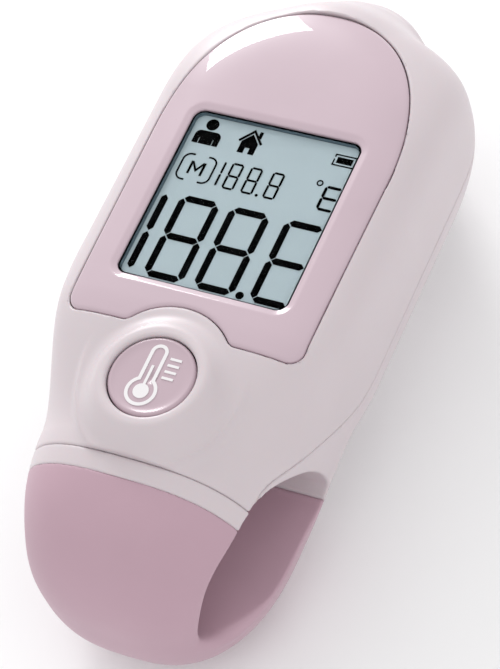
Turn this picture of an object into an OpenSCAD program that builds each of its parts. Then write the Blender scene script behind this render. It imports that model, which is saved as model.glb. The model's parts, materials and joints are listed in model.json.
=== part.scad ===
// Finger-worn digital ear thermometer, lying on its back: the display looks up along +Z, the probe
// end points along +Y and +X is to the right. Lengths are millimetres. Inside the modules the button's
// top centre is (0, 0, 0); at_rest() then moves that to its place above the table.

/* [Head] */
// Full width of the head
head_w = 45.2; // [43:0.2:48]
// Distance from the button's centre to the end of the head's flat outline
head_top = 68; // [66:0.5:70]
// Depth of the head's front face below the button's top
head_front = 0.8; // [0.6:0.1:1.2]
// Depth of the head's rear face below the button's top
head_rear = 26; // [25.6:0.1:27]
// Squareness of the head's cross-section
head_square = 5; // [4:0.25:6]
// Squareness of the head's rounded end, seen from the front
head_round = 3.5; // [3:0.1:4]

/* [Finger ring] */
// Full width of the ring where it leaves the head
ring_w = 38.4; // [36:0.2:40]
// Full width of the ring at its far end
ring_end_w = 34.4; // [32:0.2:36]
// Depth of the ring's front below the button's top
ring_front = 4.3; // [4:0.1:5]
// Depth of the flat that the object lies on
ring_rear = 39.2; // [38.8:0.1:39.4]
// Distance from the button's centre to the ring's far end
ring_end = 29.4; // [28.5:0.1:30.5]
// Radius of the finger hole's arched side
finger_r = 13.6; // [13:0.1:13.8]

/* [Display] */
// Full width of the display cover
cover_w = 37.4; // [36:0.2:38]
// Distance from the button's centre to the top of the display cover
cover_top = 65; // [64:0.1:65.5]
// Width of the display window
window_w = 26.8; // [25:0.2:27.4]
// Height of the display window
window_h = 29.1; // [28:0.1:29.6]
// Distance from the button's centre to the window's lower edge
window_low = 15; // [14.8:0.1:15.4]

/* [Button] */
// Radius of the measuring button
button_r = 6.3; // [6:0.1:6.6]
// Travel of the measuring button
button_travel = 0.45; // [0.3:0.05:0.6]

/* [Probe] */
// Radius of the round shoulder that carries the probe
shoulder_r = 12.4; // [12:0.1:12.6]
// Lean of the probe away from straight back
probe_lean = 21; // [18:1:23]
// Radius of the round seat for a probe cover
probe_seat_r = 5.4; // [5:0.1:5.6]
// Radius of the probe's tip
probe_tip_r = 4.1; // [3.8:0.1:4.4]

/* [Power] */
// Radius of one AAA cell
cell_r = 5.25; // [5.2:0.05:5.25]
// Length of one AAA cell
cell_l = 44.5; // [44:0.1:44.5]
// Thickness of the battery door
door_t = 1.6; // [1.4:0.1:1.8]

/* [Hidden] */
$fn = 64;
gap = 0.1;
eps = 0.01;
shoulder_y = 62.6;
shoulder_z = -15.2;
land_cut = 0.25;
ring_back = ring_rear + land_cut;
waist_y = -8;
head_z = -(head_front + head_rear) / 2;
round_y = 47.4;
end_square = 2.2;
ring_square = 2.75;
seam_z = -18.2;
seam_low_z = -11.3;
seam_y = -10.7;
colour_y = -13.6;
strap_colour_y = 1.2;
strap_colour_z = -24;
hole_y = -10.9;
hole_z = -25;
hole_flat_z = -27.2;
hole_corner_r = 2.5;
cavity_half = 19.2;
cavity_front = -4.7;
cavity_rear = -head_rear + 1.9;
cover_under = -3.4;
cover_low = 8.1;
arch_r = 10.4;
arch_y = 1.45;
board_front = -7;
board_t = 1.2;
bay_y = 10.6;
bay_l = 46.4;
bay_half = 11.6;
cell_z = -16.2;
door_half = 12.6;
door_low = 9.4;
door_high = 53.4;
opening_high = 54.15;
door_gap = 0.25;
tab_half = 9;
door_open = 72;
pin_y = 56.6;
pin_z = -head_rear + 1.75;
pin_r = 0.6;
knuckle_r = 1.25;
lock_y = 13;
tip_edge = 1.2;
probe_l = (ring_rear + shoulder_z - (probe_tip_r - tip_edge) * sin(probe_lean) - tip_edge) / cos(probe_lean)
    + tip_edge;
collar_s = 14;
wire_bend_s = -6;
probe_s = 15;
probe_top = shoulder_y + (probe_l - tip_edge) * sin(probe_lean) + (probe_tip_r - tip_edge) * cos(probe_lean)
    + tip_edge;
mid_y = (probe_top - ring_end) / 2;
cap_dish = 0.3;
stem_low = -5.3;
button_gap = 0.25;
lcd_z = -2.2;
mark_t = 0.08;
tray_half = bay_half + 0.8;
tray_low = -22.6;
tray_high = -9.9;
cell_x = 5.7;
screw_spots = [[-16.4, 16], [16.4, 16], [-15.6, 52], [15.6, 52]];
board_screw_spots = [[-17, 32], [17, 32]];
shell_pink = [0.89, 0.85, 0.86];
cover_pink = [0.85, 0.76, 0.80];
grip_pink = [0.76, 0.62, 0.68];

// Puts a piece, drawn about the button, in its place above the table
module at_rest() translate([0, -mid_y, ring_rear]) children();

// Signed power, for superellipses
function spow(v, n) = sign(v) * pow(abs(v), 2 / n);
// 0 to 1 with level ends
function ease(t) = let (u = min(max(t, 0), 1)) u * u * (3 - 2 * u);
function mix(a, b, t) = a + (b - a) * t;

// How far the section at height y has changed from the ring's (0) to the head's (1)
function rise(y) = ease((y - waist_y) / 20);
// How much is left of the head's full width past the start of its rounded end
function taper(y) = y <= round_y ? 1 :
    pow(max(0, 1 - pow((y - round_y) / (head_top - round_y), head_round)), 1 / head_round);
function half_w(y) = mix(ring_w, head_w, ease((y - waist_y) / 26)) / 2 * taper(y);
function section_n(y) =
    mix(mix(ring_square, head_square, rise(y)), end_square, ease((y - round_y) / (head_top - round_y)));
function front_z(y) = mix(-ring_front, -head_front, rise(y));
function rear_z(y) = mix(-ring_back, -head_rear, rise(y));
function mid_z(y) = (front_z(y) + rear_z(y)) / 2;
function half_t(y) = (front_z(y) - rear_z(y)) / 2 * pow(taper(y), 0.4);
function section_point(y, a) =
    [half_w(y) * spow(cos(a), section_n(y)), y, mid_z(y) + half_t(y) * spow(sin(a), section_n(y))];

// The ring's outside, seen along X: angle t runs from its front (0) round its far end (90) to its rear (180)
function loop_n(t) = t < 90 ? 2.1 : 3;
function loop_y(t) = waist_y - (ring_end + waist_y) * spow(sin(t), loop_n(t));
function loop_z(t) = mid_z(waist_y) + half_t(waist_y) * spow(cos(t), loop_n(t));
function loop_half(t) = mix(ring_w, ring_end_w, sin(t)) / 2;
function loop_point(t, a) =
    let (s = spow(sin(a), ring_square), y = waist_y + (loop_y(t) - waist_y) * s,
         x = mix(loop_half(t), ring_w / 2, pow(abs(cos(a)), 6)) * spow(cos(a), ring_square))
    [x, y, mid_z(waist_y) + (loop_z(t) - mid_z(waist_y)) * s];

// The whole outside skin of head, waist and ring as one closed surface
module skin() {
    around = 40;
    half = around / 2;
    stations = concat([for (y = [waist_y : 2.5 : round_y - 2]) y],
                      [for (k = [0 : 9]) round_y + (head_top - round_y) * sin(k * 9.6)]);
    rings = len(stations);
    loops = 18;
    upper = [for (y = stations) for (j = [0 : around - 1]) section_point(y, 360 * j / around)];
    lower = [for (k = [1 : loops - 1]) for (i = [1 : half - 1]) loop_point(180 * k / loops, 360 * i / around)];
    pole = len(upper);
    low0 = pole + 1;
    function at(k, i) =
        i <= 0 ? 0 : i >= half ? half :
        k <= 0 ? i : k >= loops ? around - i :
        low0 + (k - 1) * (half - 1) + i - 1;
    sides = [for (k = [0 : rings - 2]) for (j = [0 : around - 1])
        let (n = (j + 1) % around, a = k * around + j, b = k * around + n)
        for (f = [[a, b, b + around], [a, b + around, a + around]]) f];
    cap = [for (j = [0 : around - 1]) [(rings - 1) * around + j, (rings - 1) * around + (j + 1) % around, pole]];
    fan = [for (k = [0 : loops - 1]) for (i = [0 : half - 1])
        let (a = at(k, i), b = at(k, i + 1), c = at(k + 1, i + 1), d = at(k + 1, i))
        for (f = [[a, c, b], [a, d, c]])
            if (f[0] != f[1] && f[1] != f[2] && f[2] != f[0]) f];
    polyhedron(points = concat(upper, [[0, head_top, head_z]], lower), faces = concat(sides, cap, fan));
}

// Extrudes a shape drawn in Y and Z along X, both ways from the middle
module along_x(half) {
    multmatrix([[0, 0, 1, -half], [1, 0, 0, 0], [0, 1, 0, 0], [0, 0, 0, 1]])
        linear_extrude(2 * half) children();
}

// The parting line between front and rear shells, as Z over Y
function seam(y) = mix(seam_low_z, seam_z, ease((y + 9) / 24));
module front_region(shrink = 0) {
    along_x(40) polygon(concat([for (y = [seam_y : 2 : 15.3]) [y + (y == seam_y ? shrink : 0), seam(y) + shrink]],
        [[90, seam_z + shrink], [90, 9], [seam_y + shrink, 9]]));
}

// The dusty grip covers everything beyond this line
module grip_region() {
    along_x(40) polygon([[colour_y, 9], [colour_y, hole_z], [strap_colour_y, strap_colour_z],
        [strap_colour_y, -60], [-60, -60], [-60, 9]]);
}

// The finger hole: arched towards the front and flat towards the rear, with rounded corners
module finger_hole() along_x(40) offset(hole_corner_r) offset(-hole_corner_r) intersection() {
    translate([hole_y, hole_z]) circle(finger_r, $fn = 96);
    translate([hole_y - 20, hole_flat_z]) square([40, 40]);
}

// Puts a piece of the probe on its axis, its Z running from the shoulder's centre to the tip
module on_probe_axis() translate([0, shoulder_y, shoulder_z]) rotate([180 + probe_lean, 0, 0]) children();

// The round shoulder and its taper down to the probe
module shoulder(shrink = 0) {
    translate([0, shoulder_y, shoulder_z]) sphere(shoulder_r - shrink);
    on_probe_axis() {
        cylinder(h = 5, r1 = shoulder_r - shrink, r2 = 10.6 - shrink);
        translate([0, 0, 5]) cylinder(h = 9, r1 = 10.6 - shrink, r2 = 7.4 - shrink);
    }
}

// Outline of the display cover, seen from the front, grown by d all round. Its lower edge arches over
// the button on a round of radius arch_r.
module cover_outline(d = 0) {
    half = cover_w / 2;
    side = half - 0.4;
    corner = 2.3;
    ends = acos((cover_low - arch_y) / arch_r);
    top = [for (a = [0 : 7.5 : 180])
        [(half + d) * spow(cos(a), 2.2), 40 + (cover_top - 40 + d) * spow(sin(a), 2.2)]];
    left = [for (a = [180 : 22.5 : 270])
        [-side + corner + (corner + d) * cos(a), cover_low + corner + (corner + d) * sin(a)]];
    right = [for (a = [270 : 22.5 : 360])
        [side - corner + (corner + d) * cos(a), cover_low + corner + (corner + d) * sin(a)]];
    arch = [for (k = [-8 : 8]) [(arch_r - d) * sin(k / 8 * ends), arch_y + (arch_r - d) * cos(k / 8 * ends)]];
    polygon(concat(top, left, arch, right));
}

module rounded_box(low, size, r) {
    translate([low[0] + r, low[1], low[2]]) cube([size[0] - 2 * r, size[1], size[2]]);
    translate([low[0], low[1] + r, low[2]]) cube([size[0], size[1] - 2 * r, size[2]]);
    for (x = [r, size[0] - r], y = [r, size[1] - r])
        translate([low[0] + x, low[1] + y, low[2]]) cylinder(h = size[2], r = r, $fn = 32);
}

// The window's outline as a block between two depths, grown by d
module window_block(low_z, high_z, d = 0)
    rounded_box([-window_w / 2 - d, window_low - d, low_z],
        [window_w + 2 * d, window_h + 2 * d, high_z - low_z], 1.7 + d);

// The space inside the head, with room for the board's neck below the button
module cavity() {
    translate([-cavity_half, 9.2, cavity_rear]) cube([2 * cavity_half, 38.8, cavity_front - cavity_rear]);
    translate([-13.5, 40, cavity_rear]) cube([27, 18.2, cavity_front - cavity_rear]);
    translate([-6, 50, -12]) cube([12, 10.6, cavity_front + 12]);
    translate([-9.5, -5.5, -11]) cube([19, 16, 4.4]);
    translate([-14, 1, -13.4]) cube([28, 9, 7.2]);
}

// Half outline of the soft collar round the button
module collar_profile() {
    inner = button_r + button_gap;
    intersection() {
        union() {
            translate([8, -1.1]) circle(1.3);
            polygon(concat([[11.4, -7], [inner, -7], [inner, -1.1], [8, -0.2]],
                [for (r = [8.5 : 0.4 : 11.4]) [r, 0.2 - 4.2 * ease((r - 7.8) / 3.6)]]));
        }
        translate([inner, -9]) square([9, 12]);
    }
}

module front_shell() color(shell_pink) at_rest() difference() {
    intersection() {
        union() {
            skin();
            shoulder();
            rotate_extrude() collar_profile();
        }
        front_region(0.06);
    }
    difference() {
        cavity();
        for (p = screw_spots) translate([p[0], p[1], seam_z]) cylinder(h = 20, r = 2.5, $fn = 32);
    }
    finger_hole();
    translate([0, 0, cover_under - gap]) linear_extrude(12) cover_outline(0.12);
    window_block(-9, 0, 0.05);
    translate([0, 0, -9]) cylinder(h = 14, r = button_r + button_gap);
    translate([0, 0, -9]) cylinder(h = 5.4, r = 8.2);
    for (p = screw_spots) translate([p[0], p[1], seam_z - 1]) cylinder(h = 9, r = 1, $fn = 32);
    on_probe_axis() translate([0, 0, wire_bend_s - 1]) cylinder(h = 26, r = 5);
}

// The opening for the battery door, with room for its knuckle to turn and for the door to lean open
module door_opening() {
    bottom = -head_rear - 2;
    height = 2 - bottom + cavity_rear;
    translate([-door_half - door_gap, door_low - door_gap, bottom])
        cube([2 * (door_half + door_gap), opening_high - door_low + door_gap, height]);
    translate([-tab_half - door_gap, door_high - 1, bottom])
        cube([2 * (tab_half + door_gap), pin_y - door_high + 1, height]);
    along_x(tab_half + door_gap) translate([pin_y, pin_z]) {
        circle(2.1);
        rotate(door_open) translate([-8, -2]) square([8, 2]);
    }
}

module rear_shell() color(shell_pink) at_rest() difference() {
    union() {
        difference() {
            intersection() {
                union() {
                    skin();
                    shoulder();
                }
                translate([-40, -60, -ring_rear]) cube([80, 150, 50]);
            }
            front_region();
            grip_region();
            difference() {
                cavity();
                for (p = screw_spots) translate([p[0], p[1], -40]) cylinder(h = 40 + seam_z, r = 2.6, $fn = 32);
            }
            finger_hole();
            core_strap();
            door_opening();
        }
        for (side = [-1, 1]) translate([side * 10.9 - 1.55, pin_y - 2, -head_rear + 1]) cube([3.1, 4, 2.1]);
    }
    for (p = screw_spots) translate([p[0], p[1], -30]) {
        cylinder(h = 20, r = 1.15, $fn = 32);
        cylinder(h = 7.1, r = 2.2, $fn = 32);
    }
    along_x(12) translate([pin_y, pin_z]) circle(pin_r);
    on_probe_axis() cylinder(h = 20, r = 4.5);
}

// A stiff strap round the finger hole, with a tongue into each end of the rear shell
module core_strap() along_x(9) {
    inner = finger_r + 1;
    bar_z = -31.2;
    intersection() {
        translate([hole_y, hole_z]) difference() {
            circle(inner + 1.4);
            circle(inner);
        }
        translate([-40, bar_z + 0.4]) square([40 + colour_y + 2, 40]);
    }
    translate([-25.6, bar_z]) square([25.6 + strap_colour_y + 1.4, 1.4]);
}
module ring_core() color([0.82, 0.78, 0.79]) at_rest() core_strap();

module ring_grip() color(grip_pink) at_rest() difference() {
    intersection() {
        skin();
        grip_region();
        translate([-40, -60, -ring_rear]) cube([80, 150, 50]);
    }
    finger_hole();
    core_strap();
}

module display_cover() color(cover_pink) at_rest() difference() {
    intersection() {
        skin();
        translate([0, 0, cover_under]) linear_extrude(12) cover_outline();
    }
    window_block(-9, 2);
}

module window_pane() color([0.85, 0.90, 0.92, 0.35]) at_rest() window_block(-1.5, -1.1, -0.05);

// Dark frame that holds the glass: a flange under the front shell and a wall up to the pane
module lcd_frame() color([0.40, 0.47, 0.51]) at_rest() difference() {
    union() {
        window_block(-5.4, -1.5, -0.05);
        rounded_box([-13.8, window_low - 1.6, -5.4], [27.6, window_h + 3.2, 0.7], 1);
    }
    window_block(-9, 0, -0.3);
}

module lcd_glass() color([0.76, 0.83, 0.85]) at_rest() window_block(-4.2, lcd_z, -0.35);

// One seven-segment figure of the given size; on lists the lit bars from the top, clockwise, middle last
module figure(w, h, t, on = [0, 1, 2, 3, 4, 5, 6]) {
    cut = t * 0.12;
    middle = h / 2;
    bars = [[w / 2, h, 0, w], [w, h * 0.75, 90, middle], [w, h * 0.25, 90, middle], [w / 2, 0, 0, w],
            [0, h * 0.25, 90, middle], [0, h * 0.75, 90, middle], [w / 2, middle, 0, w]];
    for (k = on) translate([bars[k][0], bars[k][1]]) rotate(bars[k][2]) {
        half = bars[k][3] / 2 - cut;
        polygon([[-half, 0], [-half + t / 2, -t / 2], [half - t / 2, -t / 2], [half, 0],
                 [half - t / 2, t / 2], [-half + t / 2, t / 2]]);
    }
}

// The display's own marks: figures, battery, house, bust, memory letter and unit
module lcd_marks() {
    for (x = [-9.1, -1.15]) translate([x, 16.4]) figure(5.3, 13.1, 1.05);
    translate([7.55, 16.4]) figure(5.3, 13.1, 1.05, [0, 3, 4, 5, 6]);
    translate([-17.2, 16.4]) figure(5.3, 13.1, 1.05, [1, 2]);
    translate([5.65, 16.4]) circle(0.6);
    for (x = [-4.4, -1.4, 2.1]) translate([x, 32.6]) figure(1.6, 4.25, 0.3);
    translate([-7.2, 32.6]) figure(1.6, 4.25, 0.3, [1, 2]);
    translate([1.05, 32.6]) circle(0.22);
    translate([10.5, 32.75]) figure(2.3, 3.8, 0.42, [0, 3, 4, 5, 6]);
    translate([9.25, 36.9]) difference() {
        circle(0.5);
        circle(0.32);
    }
    translate([-9.5, 34.7]) memory_mark();
    translate([-10.2, 41]) bust();
    translate([-3.6, 41]) house();
    translate([11.25, 41.25]) battery_mark();
}

// A letter M between two round brackets
module memory_mark() {
    difference() {
        offset(1.2) square([3.1, 2.3], center = true);
        offset(0.95) square([3.1, 2.3], center = true);
        square([2.2, 6], center = true);
    }
    for (side = [-1, 1]) {
        translate([side * 1 - 0.17, -1.1]) square([0.34, 2.2]);
        polygon([[side * 1.1, 1.1], [side * 0.75, 1.1], [0, -0.1], [0, -0.65]]);
    }
}
module bust() {
    translate([-0.1, 1.4]) circle(0.97);
    difference() {
        union() {
            hull() for (side = [-1, 1]) translate([side * 1.15, -0.7]) circle(0.9);
            translate([-2.05, -2.1]) square([4.1, 1.4]);
        }
        for (side = [-1, 1]) translate([side * 1.1 - 0.07, -2.2]) square([0.14, 1.1]);
    }
}
module house() {
    polygon([[-1.9, 0], [0, 2.15], [1.9, 0], [1.65, -0.28], [0, 1.6], [-1.65, -0.28]]);
    translate([0.85, 0.8]) square([0.5, 1.15]);
    difference() {
        polygon([[-1.3, -2.1], [1.3, -2.1], [1.3, -0.15], [0, 1.3], [-1.3, -0.15]]);
        translate([-0.38, -2.2]) square([0.76, 1.1]);
    }
}
module battery_mark() {
    difference() {
        square([3.4, 1.95], center = true);
        square([3.04, 1.59], center = true);
        translate([-1.8, 0.1]) square([0.4, 0.35]);
    }
    square([2.4, 1], center = true);
}
module lcd_segments() color([0.09, 0.10, 0.11]) at_rest() translate([0, 0, lcd_z])
    linear_extrude(mark_t) lcd_marks();

module backlight_panel() color("white") at_rest()
    translate([-12.7, window_low + 3.2, -5.5]) cube([25.4, window_h - 4, 1.3]);

module contact_strip() color([0.9, 0.6, 0.5]) at_rest()
    translate([-11.5, window_low + 0.9, board_front]) cube([23, 1.9, -4.2 - board_front]);

module main_board() color([0.12, 0.40, 0.26]) at_rest() translate([0, 0, board_front - board_t]) difference() {
    union() {
        cylinder(h = board_t, r = 7.9);
        translate([-9, -4.6, 0]) cube([18, 8, board_t]);
        translate([-13.5, 1.6, 0]) cube([27, 9, board_t]);
        translate([-18.6, 9.8, 0]) cube([37.2, 37.4, board_t]);
    }
    for (p = screw_spots) translate([p[0], p[1], -1]) cylinder(h = 4, r = 2.9, $fn = 32);
    for (p = board_screw_spots) translate([p[0], p[1], -1]) cylinder(h = 4, r = 0.8, $fn = 32);
}

module board_chips() color([0.13, 0.13, 0.14]) at_rest() translate([0, 0, board_front - board_t]) {
    translate([-5, 24, -1]) cube([9, 9, 1]);
    translate([8, 26, -0.9]) cube([5, 4, 0.9]);
    translate([-15, 40, -1.2]) cube([4, 4.5, 1.2]);
    translate([9, 38, -1.4]) cylinder(h = 1.4, r = 1.6, $fn = 32);
    for (k = [0 : 4]) translate([-14 + 2 * k, 13, -0.5]) cube([0.8, 1.6, 0.5]);
}

module board_screws() color("silver") at_rest() for (p = board_screw_spots)
    translate([p[0], p[1], board_front - board_t]) {
        translate([0, 0, -1]) cylinder(h = 1, r = 1.6, $fn = 32);
        cylinder(h = board_front + board_t - cavity_front + 4, r = 0.8, $fn = 32);
    }

module tact_switch() color([0.75, 0.75, 0.77]) at_rest() translate([0, 0, board_front]) {
    translate([-3, -3, 0]) cube([6, 6, 0.7]);
    cylinder(h = stem_low - button_travel - gap - board_front, r = 1.6, $fn = 32);
}

module buzzer() color([0.2, 0.2, 0.22]) at_rest() translate([14.3, 20.6, board_front - board_t - 1.6])
    cylinder(h = 1.6, r = 1.2, $fn = 32);

module button_cap() color(cover_pink) at_rest() rotate_extrude() {
    polygon([[0, -cap_dish], [button_r - 1.1, -cap_dish], [button_r - 0.7, -cap_dish / 3],
        [button_r - 0.3, -0.12], [button_r, -0.5], [button_r, -3.8], [7.7, -3.8], [7.7, -4.6], [1.6, -4.6],
        [1.6, stem_low], [0, stem_low]]);
}

// A generic thermometer with four ticks, standing a little above the button's dish
module icon_outline(d) {
    translate([0, -2.5]) circle(2.35 + d);
    translate([-1.3 - d, -2.5]) square([2.6 + 2 * d, 6.3]);
    translate([0, 3.8]) circle(1.3 + d);
}
module button_icon() color([0.95, 0.93, 0.94]) at_rest() translate([-0.5, 0, -cap_dish]) linear_extrude(0.12) {
    difference() {
        icon_outline(0);
        icon_outline(-0.5);
    }
    translate([0, -2.5]) circle(1.15);
    translate([-0.2, -2.5]) square([0.4, 4.2]);
    for (k = [0 : 3]) translate([1.95, 0.05 + 1.02 * k]) square([1.75, 0.38]);
}

module button_web() color([0.80, 0.72, 0.76]) at_rest() translate([0, 0, board_front])
    rotate_extrude() translate([5.6, 0]) square([2.4, 1.7]);

module battery_tray() color([0.88, 0.86, 0.87]) at_rest() difference() {
    union() {
        difference() {
            translate([-tray_half, bay_y - 0.9, tray_low])
                cube([2 * tray_half, bay_l + 1.8, tray_high - tray_low]);
            translate([-bay_half, bay_y, tray_low - 1]) cube([2 * bay_half, bay_l, -10.8 - tray_low + 1]);
        }
        translate([0, lock_y, tray_low]) cylinder(h = 2, r = 1.9, $fn = 32);
        translate([-1.9, bay_y - 0.5, tray_low]) cube([3.8, lock_y - bay_y + 0.5, 2]);
    }
    translate([0, lock_y, tray_low - 1]) cylinder(h = 2.6, r = 1.25, $fn = 32);
}

// Two AAA cells side by side, the second turned end for end, each with its raised pole
module battery_cells() color([0.35, 0.45, 0.60]) at_rest() for (side = [-1, 1])
    translate([side * cell_x, bay_y + (side < 0 ? 1.9 : 0), cell_z]) rotate([-90, 0, 0]) {
        pole = 1;
        translate([0, 0, side < 0 ? 0 : pole]) cylinder(h = cell_l - pole, r = cell_r);
        translate([0, 0, side < 0 ? cell_l - pole - eps : 0]) cylinder(h = pole + eps, r = 1.9, $fn = 32);
    }

// Helical contact springs at the cells' flat ends, drawn as stacked rings
module contact_springs() color("silver") at_rest() for (side = [-1, 1]) {
    first = side < 0 ? bay_y + 0.5 : bay_y + cell_l + 0.35;
    for (k = [0 : 2]) translate([side * cell_x, first + 0.5 * k, cell_z]) rotate([90, 0, 0])
        rotate_extrude($fn = 48) translate([3.4 - 0.6 * k, 0]) circle(0.25, $fn = 16);
}

module contact_plates() color([0.80, 0.78, 0.70]) at_rest() {
    for (side = [-1, 1]) translate([side * cell_x - 4, side < 0 ? bay_y : bay_y + bay_l - 0.2, cell_z - 4])
        cube([8, 0.2, 8]);
}

module battery_door() color(shell_pink) at_rest() difference() {
    union() {
        rounded_box([-door_half, door_low, -head_rear + 0.05], [2 * door_half, door_high - door_low, door_t], 1.5);
        translate([-tab_half, door_high - 1, -head_rear + 0.05]) cube([2 * tab_half, pin_y - door_high, door_t]);
        along_x(tab_half) translate([pin_y, pin_z]) circle(knuckle_r);
        for (side = [-1, 1]) translate([side * cell_x - 0.5, 17, -head_rear + door_t - 0.2]) cube([1, 34, 2.7]);
        for (k = [0 : 4]) translate([-6 + 0.6 * k, 20 + 1.6 * k, -head_rear - 0.25])
            cube([2 * (6 - 0.6 * k), 0.7, 0.6]);
    }
    along_x(20) translate([pin_y, pin_z]) circle(pin_r + 0.06);
    translate([0, lock_y, -30]) cylinder(h = 10, r = 1.1, $fn = 32);
    translate([0, lock_y, -30]) cylinder(h = 30 - head_rear + 0.85, r = 2.3, $fn = 32);
}

// Captive screw that holds the door shut, with a coin slot
module door_lock() color("silver") at_rest() translate([0, lock_y, -head_rear + 0.1]) difference() {
    union() {
        cylinder(h = 0.7, r = 2.05);
        cylinder(h = 4.6, r = 1, $fn = 32);
    }
    translate([-3, -0.3, -1]) cube([6, 0.6, 1.35]);
}

module door_pin() color("silver") at_rest() along_x(12) translate([pin_y, pin_z]) circle(pin_r);

module probe_cone() color(shell_pink) at_rest() on_probe_axis() rotate_extrude() difference() {
    union() {
        translate([0, probe_s]) square([probe_seat_r, 5]);
        polygon([[0, probe_s + 4.9], [probe_seat_r, probe_s + 4.9], [probe_seat_r, probe_s + 5],
            [probe_tip_r, probe_l - tip_edge], [probe_tip_r - tip_edge, probe_l], [0, probe_l]]);
        translate([probe_tip_r - tip_edge, probe_l - tip_edge]) circle(tip_edge);
    }
    translate([-20, 0]) square([20, 60]);
    translate([0, probe_s - 1]) square([3.35, probe_l - probe_s]);
    square([2.3, 60]);
}

module probe_collar() color([0.93, 0.92, 0.93]) at_rest() on_probe_axis() translate([0, 0, collar_s])
    rotate_extrude() translate([4, 0]) square([3.1, probe_s - collar_s]);

module sensor_sleeve() color("silver") at_rest() on_probe_axis() rotate_extrude()
    translate([2.7, probe_s + 0.5]) square([0.6, probe_l - probe_s - 1.6]);

module sensor_can() color("silver") at_rest() on_probe_axis() translate([0, 0, probe_l - 6]) {
    cylinder(h = 3, r = 2.6);
    for (side = [-1, 1]) translate([side, 0, -1.6]) cylinder(h = 1.7, r = 0.25, $fn = 24);
}

module sensor_window() color([0.25, 0.27, 0.30]) at_rest() on_probe_axis() translate([0, 0, probe_l - 1.8])
    cylinder(h = 0.8, r = 2.25);

// Two wires from the sensor's legs, up the probe and over to the board
module sensor_wires() color([0.80, 0.25, 0.22]) at_rest() for (side = [-1, 1]) {
    on_probe_axis() translate([side, 0, wire_bend_s])
        cylinder(h = probe_l - 7.6 - wire_bend_s, r = 0.3, $fn = 24);
    rod([side, shoulder_y + wire_bend_s * sin(probe_lean), shoulder_z - wire_bend_s * cos(probe_lean)],
        [side, 46.5, board_front - board_t - 0.3], 0.3);
}
module rod(a, b, r) {
    d = b - a;
    translate(a) rotate([0, acos(d[2] / norm(d)), atan2(d[1], d[0])]) cylinder(h = norm(d), r = r, $fn = 24);
}

module shell_screws() color("silver") at_rest() for (p = screw_spots) translate([p[0], p[1], -30]) {
    translate([0, 0, 5.9]) cylinder(h = 1.2, r = 2, $fn = 48);
    translate([0, 0, 7]) cylinder(h = 12, r = 1, $fn = 32);
}

front_shell();
rear_shell();
ring_core();
ring_grip();
display_cover();
window_pane();
lcd_frame();
lcd_glass();
lcd_segments();
backlight_panel();
contact_strip();
main_board();
board_chips();
board_screws();
tact_switch();
buzzer();
button_cap();
button_icon();
button_web();
battery_tray();
battery_cells();
contact_springs();
contact_plates();
battery_door();
door_lock();
door_pin();
probe_cone();
probe_collar();
sensor_sleeve();
sensor_can();
sensor_window();
sensor_wires();
shell_screws();
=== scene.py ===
import json
import math

import bmesh
import bpy
import numpy as np
from mathutils import Matrix, Vector


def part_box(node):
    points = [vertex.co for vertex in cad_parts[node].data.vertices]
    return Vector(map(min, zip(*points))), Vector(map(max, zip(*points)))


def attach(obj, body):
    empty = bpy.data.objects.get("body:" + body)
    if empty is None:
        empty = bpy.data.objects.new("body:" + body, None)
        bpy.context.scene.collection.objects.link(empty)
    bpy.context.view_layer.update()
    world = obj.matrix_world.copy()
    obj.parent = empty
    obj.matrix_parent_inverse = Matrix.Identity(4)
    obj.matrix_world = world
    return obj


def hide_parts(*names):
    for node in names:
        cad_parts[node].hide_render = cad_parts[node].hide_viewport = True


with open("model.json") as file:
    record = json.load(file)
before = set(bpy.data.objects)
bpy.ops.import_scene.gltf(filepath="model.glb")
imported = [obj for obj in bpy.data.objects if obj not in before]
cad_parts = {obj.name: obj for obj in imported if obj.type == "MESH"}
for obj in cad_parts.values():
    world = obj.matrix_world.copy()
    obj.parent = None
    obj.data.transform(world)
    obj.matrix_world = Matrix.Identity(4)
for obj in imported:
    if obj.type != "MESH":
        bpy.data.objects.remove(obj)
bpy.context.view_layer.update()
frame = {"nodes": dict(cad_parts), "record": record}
MM = 0.001

# ---------------------------------------------------------------- places taken from the frame
# Shapes are written in millimetres about the button's top centre, as in the CAD source.
cap_low, cap_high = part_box("button_cap")
ORIGIN = Vector((0, (cap_low.y + cap_high.y) / 2, cap_low.z + 5.3 * MM))
PROBE_LEAN = math.radians(21)
AXIS = np.array([0, math.sin(PROBE_LEAN), -math.cos(PROBE_LEAN)])
HEAD_W, HEAD_TOP, HEAD_FRONT, HEAD_REAR, HEAD_SQUARE = 45.2, 68, 0.8, 26, 5
HEAD_ROUND, END_SQUARE = 3.5, 2.2
RING_W, RING_END_W, RING_FRONT, RING_REAR, RING_END, RING_SQUARE = 38.4, 34.4, 4.3, 39.2, 29.4, 2.75
RING_BACK = RING_REAR + 0.25
LOOP_FRONT_SQUARE, LOOP_REAR_SQUARE = 2.1, 3.0
WAIST_Y, ROUND_Y = -8, 47.4
# Lengths over which the section and the width change from the ring's to the head's
SECTION_RUN, WIDTH_RUN = 20, 26
WAIST_Z, WAIST_T = -(RING_FRONT + RING_BACK) / 2, (RING_BACK - RING_FRONT) / 2
SHOULDER, SHOULDER_R = np.array([0, 62.6, -15.2]), 12.4
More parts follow.
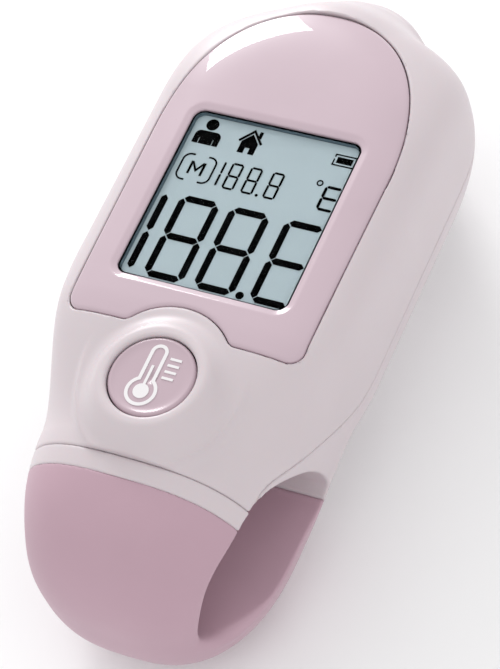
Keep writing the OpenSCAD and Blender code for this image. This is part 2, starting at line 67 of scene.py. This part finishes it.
# The shoulder's taper, as distances along the probe and the radii there
TAPER_S, TAPER_R = [0, 5, 14], [SHOULDER_R, 10.6, 7.4]
COVER_W, COVER_TOP, COVER_LOW, COVER_UNDER = 37.4, 65, 8.1, -3.4
COVER_ROUND_Y, COVER_SQUARE, COVER_CORNER = 40, 2.2, 2.3
ARCH_R, ARCH_Y = 10.4, 1.45
WINDOW_W, WINDOW_H, WINDOW_LOW, WINDOW_CORNER = 26.8, 29.1, 15, 1.7
BEVEL_DEPTH, BEVEL_W = 0.35, 1.0
BUTTON_R, BUTTON_GAP = 6.3, 0.25
SEAM_Y, SEAM_LOW, SEAM_Z = -10.7, -11.3, -18.2
SEAM_START_Y, SEAM_RUN = -9, 24
COLOUR_Y, STRAP_Y = -13.6, 1.2
HOLE_Y, HOLE_Z, HOLE_R, HOLE_FLAT, HOLE_CORNER = -10.9, -25, 13.6, -27.2, 2.5
STRAP_TOP = HOLE_FLAT + 5
CAVITY_FRONT, CAVITY_REAR = -4.7, -HEAD_REAR + 1.9
ROOMS = [
    ((-19.2, 9.2, CAVITY_REAR), (19.2, 48, CAVITY_FRONT)),
    ((-13.5, 40, CAVITY_REAR), (13.5, 58.2, CAVITY_FRONT)),
    ((-6, 50, -12), (6, 60.6, CAVITY_FRONT)),
    ((-9.5, -5.5, -11), (9.5, 10.5, -6.6)),
    ((-14, 1, -13.4), (14, 10, -6.2)),
]
DOOR_HALF, DOOR_LOW, OPENING_HIGH, TAB_HALF, DOOR_GAP = 12.6, 9.4, 54.15, 9, 0.25
PIN_Y, PIN_Z, DOOR_OPEN = 56.6, -HEAD_REAR + 1.75, math.radians(72)
SCREWS = [(-16.4, 16), (16.4, 16), (-15.6, 52), (15.6, 52)]
# Roundings of the shells' edges, of the edges where two pieces meet, and of the finger hole's rim
EDGE, MEETING_EDGE, RIM_CRISP, RIM_FULL = 0.25, 0.1, 0.35, 2.2
RIM_START_Y, RIM_RUN = -14, 9


# ---------------------------------------------------------------- distance functions
def ease(t):
    """0 to 1 with level ends."""
    t = np.clip(t, 0, 1)
    return t * t * (3 - 2 * t)


def mix(a, b, t):
    return a + (b - a) * t


def union_round(a, b, r):
    """Where a or b is inside, with the corner between them filled to radius r."""
    u, v = np.maximum(r - a, 0), np.maximum(r - b, 0)
    return np.maximum(r, np.minimum(a, b)) - np.sqrt(u * u + v * v)


def cut_round(a, b, r):
    """Where both a and b are inside, with the edge between them rounded to radius r."""
    u, v = np.maximum(r + a, 0), np.maximum(r + b, 0)
    return np.minimum(-r, np.maximum(a, b)) + np.sqrt(u * u + v * v)


def block(p, low, high):
    """A box between two corners."""
    low, high = np.array(low, float), np.array(high, float)
    q = [np.abs(p[k] - (low[k] + high[k]) / 2) - (high[k] - low[k]) / 2 for k in range(3)]
    outside = np.sqrt(sum(np.maximum(c, 0) ** 2 for c in q))
    return outside + np.minimum(np.maximum(np.maximum(q[0], q[1]), q[2]), 0)


def tube(p, x, y, r, low, high):
    """A round bar along Z."""
    return np.maximum(np.hypot(p[0] - x, p[1] - y) - r, np.maximum(low - p[2], p[2] - high))


def section_root(u, v):
    """w where w^5 - v w^3 - u = 0."""
    w = np.power(u + np.power(v, 2.5), 0.2) * 1.15 + 0.01
    for _ in range(6):
        w = w - (w ** 5 - v * w ** 3 - u) / (5 * w ** 4 - 3 * v * w * w)
    return w


def skin_level(p):
    """Zero on the outside skin of head and ring; not yet a distance."""
    x, y, z = np.abs(p[0]), p[1], p[2]
    up = np.maximum(y, WAIST_Y)
    rise = ease((up - WAIST_Y) / SECTION_RUN)
    past = np.maximum((up - ROUND_Y) / (HEAD_TOP - ROUND_Y), 0)
    half_w = mix(RING_W, HEAD_W, ease((up - WAIST_Y) / WIDTH_RUN)) / 2
    n = mix(mix(RING_SQUARE, HEAD_SQUARE, rise), END_SQUARE, ease(past))
    front, rear = mix(-RING_FRONT, -HEAD_FRONT, rise), mix(-RING_BACK, -HEAD_REAR, rise)
    u = np.power(x / half_w, n)
    v = np.power(np.abs(z - (front + rear) / 2) / ((front - rear) / 2), n)
    head = np.power(u + v, 1 / n)
    top = past > 0
    taper = np.power(section_root(u[top], v[top]), 5 / n[top])
    head[top] = np.power(past[top] ** HEAD_ROUND + taper ** HEAD_ROUND, 1 / HEAD_ROUND)
    down = np.maximum(WAIST_Y - y, 0) / (RING_END + WAIST_Y)
    depth = np.abs(z - WAIST_Z) / WAIST_T
    loop_n = np.where(z > WAIST_Z, LOOP_FRONT_SQUARE, LOOP_REAR_SQUARE)
    q = np.power(np.power(down, loop_n) + np.power(depth, loop_n), 1 / loop_n) + 1e-9
    turn = np.power(np.clip(down / q, 0, 1), loop_n / 2)
    crown = np.power(1 - np.power(np.clip(q, 0, 1), RING_SQUARE), 3)
    half = mix(mix(RING_W, RING_END_W, turn), RING_W, crown) / 2
    ring = np.power(np.power(x / half, RING_SQUARE) + np.power(q, RING_SQUARE), 1 / RING_SQUARE)
    return np.where(y > WAIST_Y, head, ring) - 1


def skin(p):
    """Distance to the outside skin, good near it."""
    level = skin_level(p)
    steps = [0.05, np.where(p[1] > ROUND_Y, 0.05, -0.05), 0.05]
    slope = 0
    for k, step in enumerate(steps):
        moved = [c + step if i == k else c for i, c in enumerate(p)]
        slope = slope + ((skin_level(moved) - level) / step) ** 2
    return level / np.sqrt(slope + 1e-8)


def along_probe(p):
    """Distance along the probe's axis, distance from the axis and distance from the shoulder's centre."""
    d = [p[k] - SHOULDER[k] for k in range(3)]
    s = d[1] * AXIS[1] + d[2] * AXIS[2]
    square = d[0] ** 2 + d[1] ** 2 + d[2] ** 2
    return s, np.sqrt(np.maximum(square - s * s, 0)), np.sqrt(square)


def shoulder(p):
    """The round shoulder and its taper down to the probe."""
    s, r, far = along_probe(p)
    taper = np.interp(s, TAPER_S, TAPER_R)
    cone = cut_round((r - taper) * 0.95, np.maximum(s - TAPER_S[-1], -s), 0.5)
    return union_round(far - SHOULDER_R, cone, 1.5)


def collar(p):
    """The soft swell round the button."""
    r = np.hypot(p[0], p[1])
    top = 0.17 - 4.17 * ease((r - 7.6) / 4.2)
    return np.maximum(np.maximum((p[2] - top) * 0.7, r - 11.8), -7 - p[2])


def form(p):
    """Head, ring and probe shoulder as one soft form."""
    return union_round(skin(p), shoulder(p), 3.5)


def seam(y):
    """Height of the parting line between front and rear shells."""
    return mix(SEAM_LOW, SEAM_Z, ease((y - SEAM_START_Y) / SEAM_RUN))


def front_side(p):
    """Negative in front of the parting line, up to where the ring's root ends."""
    return np.maximum(SEAM_Y - p[1], (seam(p[1]) - p[2]) * 0.92)


def grip_side(p):
    """Negative where the soft grip is; below the hole it runs further towards the head."""
    return p[1] - np.where(p[2] > STRAP_TOP, COLOUR_Y, STRAP_Y)


def finger_hole(p):
    """Arched towards the front and flat towards the rear, with rounded corners."""
    arch = np.hypot(p[1] - HOLE_Y, p[2] - HOLE_Z) - HOLE_R
    return cut_round(arch, HOLE_FLAT - p[2], HOLE_CORNER)


def hole_rim(p):
    """Rounding of the hole's rim: crisp near the head and fuller towards the ring's far end."""
    return mix(RIM_CRISP, RIM_FULL, ease((RIM_START_Y - p[1]) / RIM_RUN))


def cover_plan(p, grow=0.0):
    """Outline of the display cover, seen from the front."""
    half = COVER_W / 2
    x, y = np.abs(p[0]), p[1]
    rise = np.maximum(y - COVER_ROUND_Y, 0) / (COVER_TOP - COVER_ROUND_Y)
    arch = np.power((x / half) ** COVER_SQUARE + rise ** COVER_SQUARE, 1 / COVER_SQUARE) - 1
    side = x - (half - 0.4 * np.clip((COVER_ROUND_Y - y) / 29.6, 0, 1))
    body = np.where(y > COVER_ROUND_Y, arch * half * 0.97, side)
    body = cut_round(body, COVER_LOW - y, COVER_CORNER)
    return cut_round(body, ARCH_R - np.hypot(x, y - ARCH_Y), 0.5) - grow


def window_plan(p, grow=0.0):
    """Outline of the display window, seen from the front."""
    x = np.abs(p[0]) - (WINDOW_W / 2 - WINDOW_CORNER)
    y = np.abs(p[1] - WINDOW_LOW - WINDOW_H / 2) - (WINDOW_H / 2 - WINDOW_CORNER)
    outside = np.hypot(np.maximum(x, 0), np.maximum(y, 0))
    return outside + np.minimum(np.maximum(x, y), 0) - WINDOW_CORNER - grow


def cavity(p, boss_r, boss_low, boss_high):
    """The space inside the head, round the bosses for the screws."""
    room = np.minimum.reduce([block(p, low, high) for low, high in ROOMS])
    for x, y in SCREWS:
        room = np.maximum(room, -tube(p, x, y, boss_r, boss_low, boss_high))
    return room


def door_opening(p):
    """The opening for the battery door, its tab and its knuckle, with room to lean open."""
    top = CAVITY_REAR + 1
    half, tab = DOOR_HALF + DOOR_GAP, TAB_HALF + DOOR_GAP
    opening = block(p, (-half, DOOR_LOW - DOOR_GAP, -30), (half, OPENING_HIGH, top))
    tab_room = block(p, (-tab, OPENING_HIGH - 2, -30), (tab, PIN_Y, top))
    dy, dz = p[1] - PIN_Y, p[2] - PIN_Z
    along = dy * math.cos(DOOR_OPEN) + dz * math.sin(DOOR_OPEN)
    off = dz * math.cos(DOOR_OPEN) - dy * math.sin(DOOR_OPEN)
    lean = np.maximum(np.maximum(along, -2 - off), off)
    turn = np.maximum(np.minimum(np.hypot(dy, dz) - 2.1, lean), np.abs(p[0]) - TAB_HALF - DOOR_GAP)
    return np.minimum(opening, np.minimum(tab_room, turn))


# ---------------------------------------------------------------- the form of each piece
def front_shell(p):
    """Front half of the head and ring root, with the collar, the cover's seat and the button's bore."""
    body = cut_round(union_round(form(p), collar(p), 1.6), front_side(p) + 0.05, EDGE)
    body = cut_round(body, -finger_hole(p), RIM_CRISP)
    body = cut_round(body, -np.maximum(cover_plan(p, 0.12), COVER_UNDER - 0.1 - p[2]), 0.2)
    bore = np.minimum(tube(p, 0, 0, BUTTON_R + BUTTON_GAP - 0.08, -9, 9), tube(p, 0, 0, 8.2, -9, -3.6))
    body = cut_round(body, -bore, 0.35)
    body = np.maximum(body, -np.maximum(window_plan(p, 0.05), -9 - p[2]))
    s, r, _ = along_probe(p)
    body = np.maximum(body, -np.maximum(r - 5, np.maximum(-7 - s, s - 19)))
    return np.maximum(body, -cavity(p, 2.5, SEAM_Z, 2))


def rear_shell(p):
    """Rear half of the head, root of the ring and probe shoulder, with the door's lugs."""
    body = cut_round(form(p), -front_side(p), EDGE)
    body = cut_round(body, -grip_side(p), MEETING_EDGE)
    body = cut_round(body, -finger_hole(p), RIM_CRISP)
    body = np.maximum(body, -RING_REAR - p[2])
    body = cut_round(body, -door_opening(p), EDGE)
    body = np.maximum(body, -cavity(p, 2.6, -40, SEAM_Z))
    lug = block([np.abs(p[0]), p[1], p[2]], (9.35, PIN_Y - 2, -25), (12.45, PIN_Y + 2, -22.9))
    body = np.minimum(body, lug)
    for x, y in SCREWS:
        body = np.maximum(body, -np.minimum(tube(p, x, y, 1.15, -40, 0), tube(p, x, y, 2.2, -40, -22.9)))
    s, r, _ = along_probe(p)
    return np.maximum(body, -np.maximum(r - 4.5, np.maximum(-s, s - 20)))


def ring_grip(p):
    """Soft outer end of the ring, resting on a flat at the rear."""
    body = cut_round(skin(p), grip_side(p), MEETING_EDGE)
    body = cut_round(body, -finger_hole(p), hole_rim(p))
    return np.maximum(body, -RING_REAR - p[2])


def display_cover(p):
    """Cover with a shallow bevel sloping into the window."""
    face = skin(p) - 0.12
    body = cut_round(face, cover_plan(p), 0.45)
    bevel = BEVEL_DEPTH * (1 - window_plan(p) / BEVEL_W)
    body = np.maximum(body, np.where(bevel > 0, face + bevel, -9))
    return np.maximum(np.maximum(body, -window_plan(p)), COVER_UNDER - p[2])


# ---------------------------------------------------------------- meshing
def surface_net(values, low, step):
    """Quads round the zero level of a grid of distances."""
    inside = values < 0
    corners = [(i, j, k) for i in (0, 1) for j in (0, 1) for k in (0, 1)]
    nx, ny, nz = (n - 1 for n in values.shape)
    count = sum(inside[i:i + nx, j:j + ny, k:k + nz].astype(np.uint8) for i, j, k in corners)
    cells = np.argwhere((count > 0) & (count < 8))
    total, hits = np.zeros((len(cells), 3)), np.zeros(len(cells))
    for a in corners:
        for axis in range(3):
            if a[axis]:
                continue
            b = tuple(1 if i == axis else c for i, c in enumerate(a))
            va = values[tuple((cells + a).T)]
            vb = values[tuple((cells + b).T)]
            cross = (va < 0) != (vb < 0)
            t = np.where(cross, va / np.where(cross, va - vb, 1), 0)
            point = np.array(a, float) + t[:, None] * (np.array(b) - np.array(a))
            total += point * cross[:, None]
            hits += cross
    points = np.array(low) + step * (cells + total / hits[:, None])
    index = np.full((nx, ny, nz), -1, np.int64)
    index[tuple(cells.T)] = np.arange(len(cells))
    quads = []
    for axis in range(3):
        u, v = [(1, 2), (2, 0), (0, 1)][axis]
        first = [slice(None)] * 3
        first[axis] = slice(0, values.shape[axis] - 1)
        second = [slice(None)] * 3
        second[axis] = slice(1, None)
        change = inside[tuple(first)] != inside[tuple(second)]
        edges = np.argwhere(change)
        keep = (edges[:, u] > 0) & (edges[:, v] > 0) & (edges[:, u] < values.shape[u] - 1)
        edges = edges[keep & (edges[:, v] < values.shape[v] - 1)]
        du, dv = np.eye(3, dtype=int)[u], np.eye(3, dtype=int)[v]
        quad = np.stack([index[tuple((edges - o).T)] for o in (du + dv, dv, 0 * du, du)], axis=1)
        starts_inside = inside[tuple(edges.T)]
        quads.append(np.where(starts_inside[:, None], quad, quad[:, ::-1]))
    return points, np.concatenate(quads)


def settle(points, distance, turns=2):
    """Moves the points onto the true zero level, never further than reach in one turn."""
    step, reach = 0.02, 0.15
    for _ in range(turns):
        here = distance(list(points.T))
        slope = np.zeros_like(points)
        for k in range(3):
            ahead = points.copy()
            ahead[:, k] += step
            slope[:, k] = (distance(list(ahead.T)) - here) / step
        size = np.maximum((slope ** 2).sum(1), 0.2)
        move = -here[:, None] * slope / size[:, None]
        points = points + np.clip(move, -reach, reach)
    return points


def new_piece(name, points, faces, body, replaced, material):
    """A smooth-shaded mesh that rides on a body in place of the CAD nodes that it replaces."""
    mesh = bpy.data.meshes.new(name)
    verts = [tuple(v) for v in (np.asarray(points) * MM + np.array(ORIGIN))]
    mesh.from_pydata(verts, [], [tuple(int(i) for i in f) for f in faces])
    mesh.polygons.foreach_set("use_smooth", [True] * len(mesh.polygons))
    mesh.update()
    piece = bpy.data.objects.new(name, mesh)
    bpy.context.scene.collection.objects.link(piece)
    mesh.materials.append(material)
    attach(piece, body)
    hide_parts(*replaced)
    return piece


def solid_piece(name, distance, low, high, step, material):
    """A piece meshed from its distance function, between two corners."""
    low, high = np.array(low, float), np.array(high, float)
    axes = [np.arange(low[k], high[k] + step, step) for k in range(3)]
    grid = np.meshgrid(*axes, indexing="ij")
    shape = grid[0].shape
    flat = [g.ravel() for g in grid]
    coarse = distance(flat).reshape(shape)
    points, quads = surface_net(coarse, low, step)
    points = settle(points, distance)
    return new_piece(name + "_form", points, quads, "head", [name], material)


def turned(name, profile, body, replaced, material, place=None, around=96):
    """A piece of revolution: profile is a closed list of (radius, height) points."""
    ring = len(profile)
    points = []
    for k in range(around):
        a = 2 * math.pi * k / around
        points += [(r * math.cos(a), r * math.sin(a), z) for r, z in profile]
    points = np.array(points)
    if place is not None:
        points = points @ np.array(place.to_3x3()).T + np.array(place.translation)
    faces = []
    for k in range(around):
        n = (k + 1) % around
        for i in range(ring):
            j = (i + 1) % ring
            faces.append((k * ring + i, k * ring + j, n * ring + j, n * ring + i))
    return new_piece(name + "_form", points, faces, body, replaced, material)


def arc(cx, cz, r, start, end, steps=6):
    """Points on a round from one angle to another, in degrees."""
    return [(cx + r * math.cos(math.radians(a)), cz + r * math.sin(math.radians(a)))
            for a in np.linspace(start, end, steps)]


# ---------------------------------------------------------------- materials
def node_material(name, base, rough, vary=0.04, scale=90.0, bump=0.02, grain=2500.0, **inputs):
    """Moulded plastic or metal: base colour with slow variation, fine grain in roughness and bump."""
    material = bpy.data.materials.new(name)
    material.use_nodes = True
    nodes, links = material.node_tree.nodes, material.node_tree.links
    shader = nodes["Principled BSDF"]
    place = nodes.new("ShaderNodeTexCoord")
    cloud = nodes.new("ShaderNodeTexNoise")
    cloud.inputs["Scale"].default_value = scale
    cloud.inputs["Detail"].default_value = 3
    links.new(place.outputs["Object"], cloud.inputs["Vector"])
    ramp = nodes.new("ShaderNodeValToRGB")
    low = [max(0, c * (1 - vary)) for c in base]
    high = [min(1, c * (1 + vary)) for c in base]
    ramp.color_ramp.elements[0].color = (*low, 1)
    ramp.color_ramp.elements[0].position = 0.3
    ramp.color_ramp.elements[1].color = (*high, 1)
    ramp.color_ramp.elements[1].position = 0.7
    links.new(cloud.outputs["Fac"], ramp.inputs["Fac"])
    links.new(ramp.outputs["Color"], shader.inputs["Base Color"])
    fine = nodes.new("ShaderNodeTexNoise")
    fine.inputs["Scale"].default_value = grain
    fine.inputs["Detail"].default_value = 2
    links.new(place.outputs["Object"], fine.inputs["Vector"])
    spread = nodes.new("ShaderNodeMapRange")
    spread.inputs["To Min"].default_value = rough * 0.85
    spread.inputs["To Max"].default_value = min(1, rough * 1.15)
    links.new(fine.outputs["Fac"], spread.inputs["Value"])
    links.new(spread.outputs["Result"], shader.inputs["Roughness"])
    lift = nodes.new("ShaderNodeBump")
    lift.inputs["Strength"].default_value = bump
    lift.inputs["Distance"].default_value = 0.0001
    links.new(fine.outputs["Fac"], lift.inputs["Height"])
    links.new(lift.outputs["Normal"], shader.inputs["Normal"])
    for key, value in inputs.items():
        shader.inputs[key.replace("_", " ")].default_value = value
    return material


SHELL = node_material("shell_pink", (0.60, 0.53, 0.555), 0.42, vary=0.012, bump=0.03, Coat_Weight=0.1,
                      Coat_Roughness=0.2, Subsurface_Weight=0.05, Subsurface_Scale=0.002)
COVER = node_material("cover_pink", (0.52, 0.395, 0.45), 0.30, vary=0.03, scale=60, bump=0.0,
                      Coat_Weight=1.0, Coat_Roughness=0.015, Coat_IOR=1.6)
BUTTON = node_material("button_pink", (0.49, 0.37, 0.42), 0.30, vary=0.02, bump=0.02, Coat_Weight=0.5,
                       Coat_Roughness=0.12)
GRIP = node_material("grip_pink", (0.48, 0.315, 0.378), 0.55, vary=0.02, bump=0.05, grain=4000,
                     Sheen_Weight=0.1, Sheen_Roughness=0.5)
PAINTED = {
    "core_plastic": node_material("core_plastic", (0.55, 0.50, 0.52), 0.5),
    # The LCD frame is coloured dark slate as painted shade: it stands in for the shadow on the window's
    # recess walls round the display.
    "lcd_frame": node_material("lcd_frame_painted_shade", (0.11, 0.165, 0.20), 0.5, vary=0.06),
    "lcd_glass": node_material("lcd_glass", (0.45, 0.55, 0.59), 0.35, vary=0.012, scale=120, bump=0.0,
                               Specular_IOR_Level=0.15),
    "lcd_marks": node_material("lcd_marks", (0.002, 0.0022, 0.0025), 0.4, vary=0.1, bump=0.0,
                               Specular_IOR_Level=0.0),
    "light_panel": node_material("light_panel", (0.85, 0.85, 0.83), 0.5),
    "icon_white": node_material("icon_white", (0.78, 0.76, 0.77), 0.45),
    "silicone": node_material("silicone", (0.55, 0.42, 0.47), 0.6),
    "board_green": node_material("board_green", (0.03, 0.17, 0.08), 0.4, vary=0.2, scale=400),
    "chip_black": node_material("chip_black", (0.02, 0.02, 0.022), 0.5, vary=0.1),
    "steel": node_material("steel", (0.62, 0.62, 0.63), 0.28, vary=0.05, Metallic=1.0),
    "cell_wrap": node_material("cell_wrap", (0.10, 0.16, 0.30), 0.3, vary=0.05, Coat_Weight=0.3),
    "probe_white": node_material("probe_white", (0.72, 0.70, 0.71), 0.4),
    "ir_window": node_material("ir_window", (0.05, 0.055, 0.07), 0.12, vary=0.1),
    "wire_red": node_material("wire_red", (0.5, 0.05, 0.04), 0.5),
    "shell_pink": SHELL,
    "cover_pink": BUTTON,
    "grip_pink": GRIP,
    "window_clear": node_material("window_clear", (1.0, 1.0, 1.0), 0.02, vary=0.0, bump=0.0,
                                  Transmission_Weight=1.0, IOR=1.05),
}
SLOTS = {row["node"]: row["material_slot"] for row in frame["record"]["subparts"]}
for node, obj in frame["nodes"].items():
    obj.data.materials.clear()
    obj.data.materials.append(PAINTED[SLOTS[node]])

FINE = 0.3
solid_piece("front_shell", front_shell, (-22.9, -11.4, -18.7), (22.9, 74.6, 0.8), FINE, SHELL)
solid_piece("rear_shell", rear_shell, (-22.9, -15, -39.9), (22.9, 74.6, -3), FINE, SHELL)
solid_piece("ring_grip", ring_grip, (-20.2, -30.2, -39.9), (20.2, 2.2, -3), FINE, GRIP)
solid_piece("display_cover", display_cover, (-19.3, 7.4, -3.8), (19.3, 65.7, 0), FINE * 0.8, COVER)


def button_profile():
    """Half outline: dished top, rounded rim, skirt with a flange and the stem below."""
    dish = [(r, -0.3 - 0.02 * math.cos(r)) for r in (0.001, 1.5, 3, 4.4)]
    rim = [(4.9, -0.29), (5.3, -0.24), (5.6, -0.17)] + arc(BUTTON_R - 0.5, -0.62, 0.5, 100, 0, 8)
    skirt = [(BUTTON_R, -1.2), (BUTTON_R, -2.5), (BUTTON_R, -3.8), (7.7, -3.8), (7.7, -4.6), (1.6, -4.6)]
    return dish + rim + skirt + [(1.6, -5.3), (0.001, -5.3)]


turned("button_cap", button_profile(), "button", ["button_cap"], BUTTON)


def pane_piece():
    """The clear pane, thin, with flat faces and rounded corners."""
    fit = 0.05
    half_x, half_y, r = WINDOW_W / 2 - fit, WINDOW_H / 2 - fit, WINDOW_CORNER - fit
    middle = WINDOW_LOW + WINDOW_H / 2
    outline = []
    for start, sx, sy in ((0, 1, 1), (90, -1, 1), (180, -1, -1), (270, 1, -1)):
        outline += arc(sx * (half_x - r), middle + sy * (half_y - r), r, start, start + 90, 9)
    count = len(outline)
    points = [(x, y, z) for z in (-1.5, -1.45) for x, y in outline]
    faces = [tuple(reversed(range(count))), tuple(range(count, 2 * count))]
    faces += [(k, (k + 1) % count, count + (k + 1) % count, count + k) for k in range(count)]
    pane = new_piece("window_pane_form", points, faces, "head", ["window_pane"],
                     PAINTED["window_clear"])
    pane.data.polygons.foreach_set("use_smooth", [False] * len(pane.data.polygons))


pane_piece()

# The probe, drawn about its own axis
PROBE_S, PROBE_R, TIP_R, TIP_EDGE = 15, 5.4, 4.1, 1.2
PROBE_L = (RING_REAR + SHOULDER[2] - (TIP_R - TIP_EDGE) * AXIS[1] - TIP_EDGE) / -AXIS[2] + TIP_EDGE
ON_PROBE = Matrix.Translation(Vector(SHOULDER)) @ Matrix.Rotation(math.pi + PROBE_LEAN, 4, "X")


def probe_profile():
    """Half outline of the probe, from the bore at the tip round the outside and back up the bore."""
    tip = [(2.3, PROBE_L - 0.15), (2.45, PROBE_L), (2.6, PROBE_L)]
    tip += arc(TIP_R - TIP_EDGE, PROBE_L - TIP_EDGE, TIP_EDGE, 90, 3, 8)
    seat = [(PROBE_R, PROBE_S + 5.1), (PROBE_R, PROBE_S + 4.8), (PROBE_R, PROBE_S + 0.4)]
    seat += arc(PROBE_R - 0.2, PROBE_S + 0.2, 0.2, 0, -90, 4)
    bore = [(3.45, PROBE_S), (3.35, PROBE_S + 0.1), (3.35, PROBE_L - 1.1)]
    bore += [(3.25, PROBE_L - 1), (2.4, PROBE_L - 1), (2.3, PROBE_L - 0.9)]
    return tip + seat + bore


def trim_profile():
    """Half outline of the trim ring at the root of the probe."""
    low, high, edge = PROBE_S - 1, PROBE_S - 0.02, 0.25
    outside = arc(7.1 - edge, high - edge, edge, 90, 0, 5) + arc(7.1 - edge, low + edge, edge, 0, -90, 5)
    return [(4, high - 0.05), (4.05, high)] + outside + [(4.05, low), (4, low + 0.05)]


turned("probe_cone", probe_profile(), "head", ["probe_cone"], SHELL, ON_PROBE)
turned("probe_collar", trim_profile(), "head", ["probe_collar"], PAINTED["probe_white"],
       ON_PROBE)

# ---------------------------------------------------------------- stage, light and camera
AIM = ORIGIN + Vector((0.0109, 0.00967, 0.0003))
AZIMUTH, ELEVATION, ROLL = math.radians(43.35), math.radians(54.76), math.radians(-23.3)
DISTANCE = 0.380
LENS = 150.65
STRIP_PLACE, STRIP_TARGET = Vector((-0.370, 0.467, 0.243)), Vector((-0.008, 0.035, 0.038))
STRIP_SIZE, STRIP_POWER = (0.17, 0.40), 2.1


def make_camera():
    """Looks at AIM from the front right and above, leaning to one side."""
    camera = bpy.data.objects.new("camera", bpy.data.cameras.new("camera"))
    bpy.context.scene.collection.objects.link(camera)
    camera.data.lens = LENS
    camera.data.clip_start = 0.01
    level_reach = math.cos(ELEVATION)
    back = Vector((math.sin(AZIMUTH) * level_reach, -math.cos(AZIMUTH) * level_reach, math.sin(ELEVATION)))
    level = Vector((math.cos(AZIMUTH), math.sin(AZIMUTH), 0))
    rise = back.cross(level)
    right = level * math.cos(ROLL) + rise * math.sin(ROLL)
    up = rise * math.cos(ROLL) - level * math.sin(ROLL)
    camera.matrix_world = Matrix((right, up, back)).transposed().to_4x4()
    camera.location = AIM + back * DISTANCE
    bpy.context.scene.camera = camera


def make_strip_light():
    """The one soft light, whose long face shows as the bright sweep on the display cover."""
    light = bpy.data.lights.new("strip", "AREA")
    light.shape = "RECTANGLE"
    light.size, light.size_y = STRIP_SIZE
    light.energy = STRIP_POWER
    strip = bpy.data.objects.new("strip", light)
    bpy.context.scene.collection.objects.link(strip)
    strip.location = STRIP_PLACE
    strip.rotation_mode = "QUATERNION"
    strip.rotation_quaternion = (STRIP_TARGET - STRIP_PLACE).to_track_quat("-Z", "Y")


def make_stage():
    """Plain pale floor under a plain white sky."""
    mesh = bpy.data.meshes.new("floor")
    work = bmesh.new()
    bmesh.ops.create_grid(work, x_segments=4, y_segments=4, size=3)
    work.to_mesh(mesh)
    work.free()
    floor = bpy.data.objects.new("floor", mesh)
    bpy.context.scene.collection.objects.link(floor)
    mesh.materials.append(node_material("floor", (0.93, 0.93, 0.935), 0.8, vary=0.005, scale=3, bump=0.0))
    world = bpy.data.worlds.new("world")
    world.use_nodes = True
    world.node_tree.nodes["Background"].inputs["Color"].default_value = (1, 1, 1, 1)
    world.node_tree.nodes["Background"].inputs["Strength"].default_value = 1.0
    bpy.context.scene.world = world


make_camera()
make_stage()
make_strip_light()
bpy.context.scene.view_settings.view_transform = "Standard"
